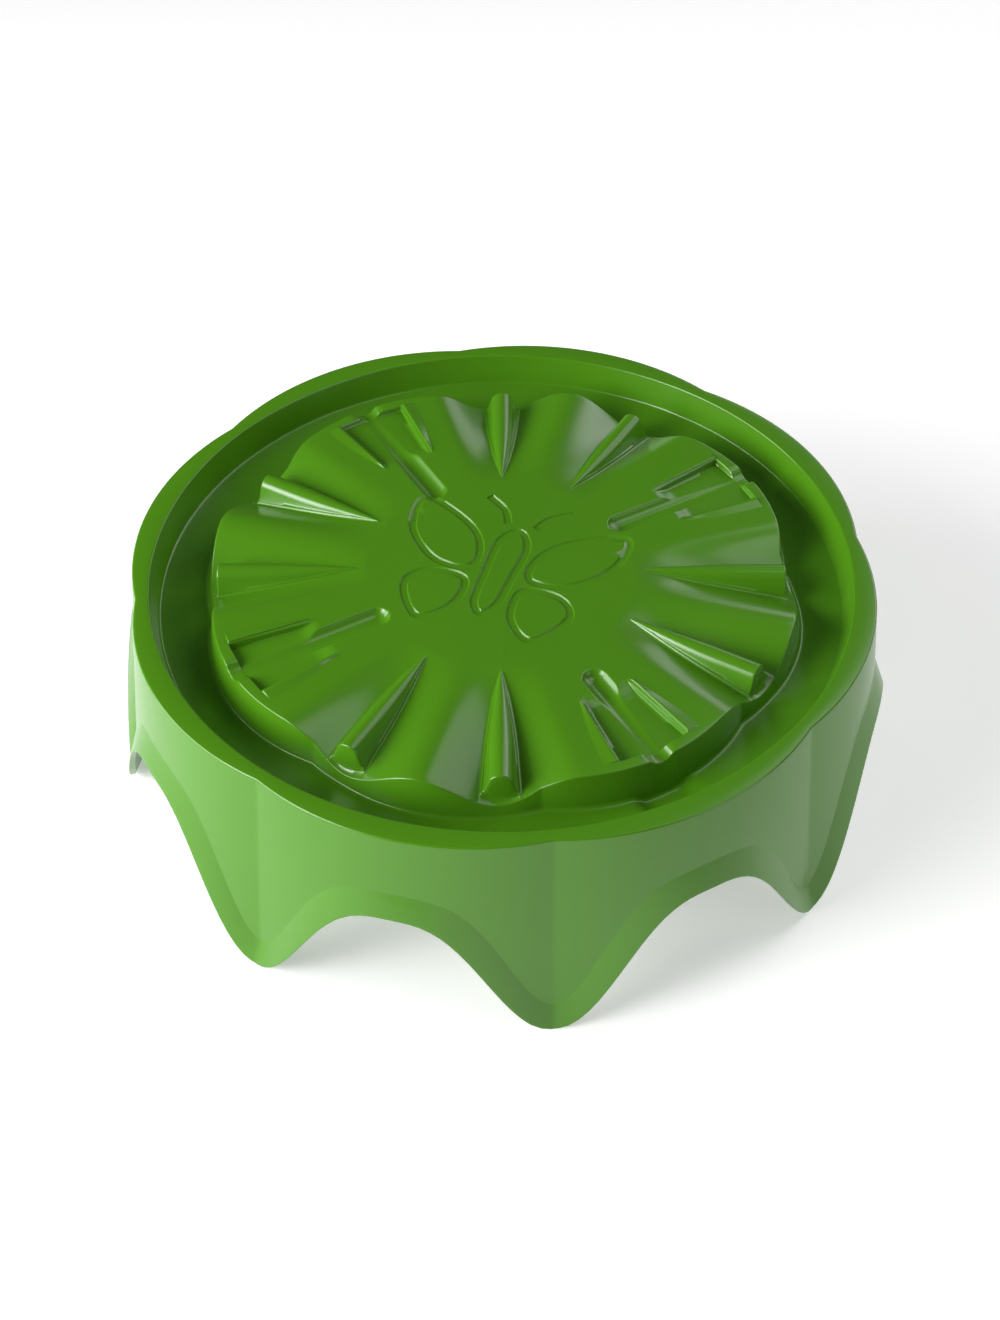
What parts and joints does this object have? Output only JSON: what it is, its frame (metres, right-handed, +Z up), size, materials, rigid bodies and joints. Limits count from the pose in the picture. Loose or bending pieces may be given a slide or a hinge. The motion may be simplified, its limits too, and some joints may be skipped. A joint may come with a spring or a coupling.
{
  "type": "pheromone insect trap",
  "caption": "Low round insect trap: scalloped hood on arched feet with a ribbed hub and a rain gutter, over a hung catch dish and a central lure holder.",
  "frame": {"origin": "on the ground, below the centre of the hood", "axes": "+Z up; -Y is the front, the side with one foot nearest the viewer; +X to the right seen from the front"},
  "size_m": [0.1806, 0.1806, 0.0545],
  "materials": {
    "hood_plastic": "injection-moulded polypropylene, leaf green, satin gloss",
    "pin_plastic": "the same leaf-green polypropylene, satin",
    "holder_plastic": "natural white polypropylene, satin",
    "dish_plastic": "white polypropylene, polished mould",
    "liner_card": "coated card under a film of clear insect glue",
    "dispenser_rubber": "matt red-brown natural rubber"
  },
  "bodies": {
    "dish": {"catch_dish": "dish_plastic", "hanger_pin_1": "pin_plastic", "hanger_pin_2": "pin_plastic", "hanger_pin_3": "pin_plastic", "hanger_pin_4": "pin_plastic"},
    "hood": {"hood": "hood_plastic"},
    "lure_holder": {"lure_holder": "holder_plastic"},
    "lure_cap": {"lure_holder_cap": "holder_plastic", "pheromone_dispenser": "dispenser_rubber"},
    "liner": {"sticky_liner": "liner_card"}
  },
  "joints": [
    {"name": "hood_lift", "type": "slide", "parent": "dish", "child": "hood", "axis": [0, 0, 1], "range_m": [0, 0.04]},
    {"name": "lure_holder_twist", "type": "hinge", "parent": "hood", "child": "lure_holder", "pos_m": [0, 0, 0.05], "axis": [0, 0, 1], "range_deg": [0, 90]},
    {"name": "lure_cap_pull", "type": "slide", "parent": "lure_holder", "child": "lure_cap", "axis": [0, 0, -1], "range_m": [0, 0.006]},
    {"name": "liner_lift", "type": "slide", "parent": "dish", "child": "liner", "axis": [0, 0, 1], "range_m": [0, 0.01]}
  ]
}
